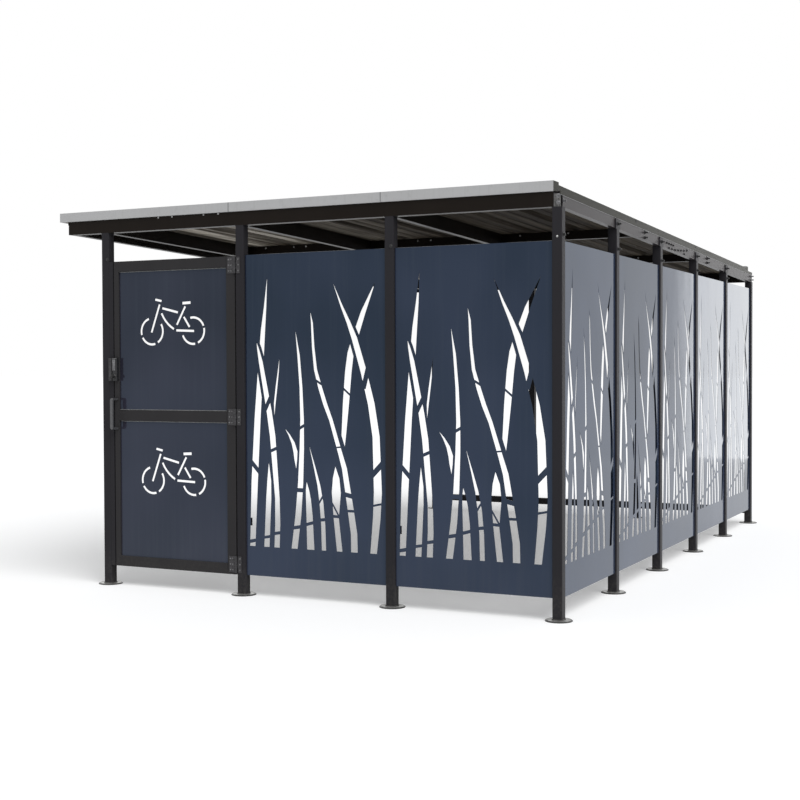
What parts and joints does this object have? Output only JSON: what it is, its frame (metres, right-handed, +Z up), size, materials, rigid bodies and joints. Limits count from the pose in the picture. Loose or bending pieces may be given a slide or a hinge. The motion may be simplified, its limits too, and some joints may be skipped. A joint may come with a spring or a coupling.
{
  "type": "bike shelter",
  "caption": "Steel bike shelter with square posts, sheet panels cut in a reed pattern, a hinged gate with cut-out bicycle marks, a corrugated roof on sloping beams, and an open left side and back.",
  "frame": {"origin": "on the ground, under the centre of the front left corner post", "axes": "+X runs to the right along the front, +Y from the front towards the back, +Z up"},
  "size_m": [3.635, 5.4818, 2.507],
  "materials": {
    "frame_paint": "satin",
    "panel_paint": "satin",
    "trim_paint": "satin",
    "roof_metal": "galvanised",
    "foot_metal": "satin",
    "fitting_steel": "brushed",
    "lock_metal": "brushed"
  },
  "bodies": {
    "shelter": {"beam_back": "frame_paint", "beam_caps": "frame_paint", "beam_front": "frame_paint", "beam_left": "frame_paint", "beam_left_edge": "frame_paint", "beam_right": "frame_paint", "corner_brackets": "frame_paint", "door_jamb": "frame_paint", "fascia_back": "trim_paint", "fascia_front": "trim_paint", "foot_plates": "foot_metal", "hinges_post": "fitting_steel", "lock_keeper": "lock_metal", "panel_cleats": "frame_paint", "panel_front_1": "panel_paint", "panel_front_2": "panel_paint", "panel_right_1": "panel_paint", "panel_right_2": "panel_paint", "panel_right_3": "panel_paint", "panel_right_4": "panel_paint", "panel_right_5": "panel_paint", "post_front_1": "frame_paint", "post_front_2": "frame_paint", "post_front_3": "frame_paint", "post_front_4": "frame_paint", "post_right_1": "frame_paint", "post_right_2": "frame_paint", "post_right_3": "frame_paint", "post_right_4": "frame_paint", "posts_back": "frame_paint", "purlins": "frame_paint", "rafters": "frame_paint", "rails_back": "frame_paint", "roof_sheet": "roof_metal", "side_flashings": "trim_paint"},
    "door": {"door_hinge_stile": "panel_paint", "door_lock_stile": "panel_paint", "door_lower_sheet": "panel_paint", "door_rails": "panel_paint", "door_upper_sheet": "panel_paint", "hinges_door": "fitting_steel", "lock_case": "lock_metal", "pull_handle": "fitting_steel"}
  },
  "joints": [
    {"name": "door_hinge", "type": "hinge", "parent": "shelter", "child": "door", "pos_m": [1.028, -0.037, 0], "axis": [0, 0, 1], "range_deg": [0, 110]}
  ]
}
